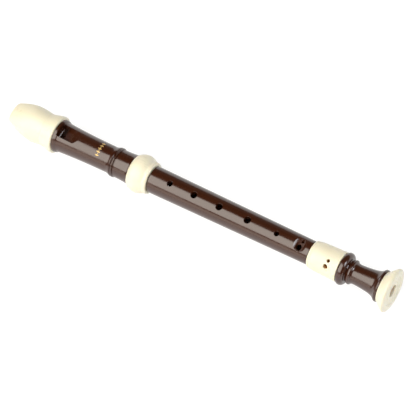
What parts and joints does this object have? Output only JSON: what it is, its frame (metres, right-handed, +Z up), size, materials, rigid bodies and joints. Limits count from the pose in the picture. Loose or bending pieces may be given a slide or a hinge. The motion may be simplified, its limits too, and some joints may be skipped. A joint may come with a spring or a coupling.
{
  "type": "soprano recorder",
  "caption": "Three-joint school recorder: dark brown plastic tubes with an ivory beak, socket ring, foot sleeve and bell; head and foot pull off and turn on their tenons.",
  "frame": {"origin": "under the middle of the recorder's length, at the height of its lowest side as it lies on a table", "axes": "+X along the bore axis from the beak to the bell, +Z up, the way the finger holes of the middle joint look, +Y to the side of the small hole of each double hole"},
  "size_m": [0.328, 0.0334, 0.0335],
  "materials": {
    "ivory_head": "ivory moulded ABS with a soft gloss",
    "ivory_ring": "ivory moulded ABS with a soft gloss",
    "ivory_foot": "ivory moulded ABS with a soft gloss",
    "brown_head": "dark brown moulded ABS, polished",
    "brown_middle": "dark brown moulded ABS, polished",
    "brown_foot": "dark brown moulded ABS, polished"
  },
  "bodies": {
    "middle_joint": {"middle_tube": "brown_middle"},
    "head_ring": {"head_socket_ring": "ivory_ring"},
    "head_joint": {"head_barrel": "brown_head", "beak_cap": "ivory_head", "windway_block": "brown_head"},
    "bell_ring": {"foot_bell_ring": "ivory_foot"},
    "foot_joint": {"foot_sleeve": "ivory_foot", "foot_stem": "brown_foot"}
  },
  "joints": [
    {"name": "head_pull", "type": "slide", "parent": "middle_joint", "child": "head_ring", "axis": [-1, 0, 0], "range_m": [0, 0.04]},
    {"name": "head_turn", "type": "hinge", "parent": "head_ring", "child": "head_joint", "pos_m": [0, 0, 0.01675], "axis": [1, 0, 0], "continuous": true},
    {"name": "foot_pull", "type": "slide", "parent": "middle_joint", "child": "bell_ring", "axis": [1, 0, 0], "range_m": [0, 0.03]},
    {"name": "foot_turn", "type": "hinge", "parent": "bell_ring", "child": "foot_joint", "pos_m": [0, 0, 0.01675], "axis": [1, 0, 0], "continuous": true}
  ]
}
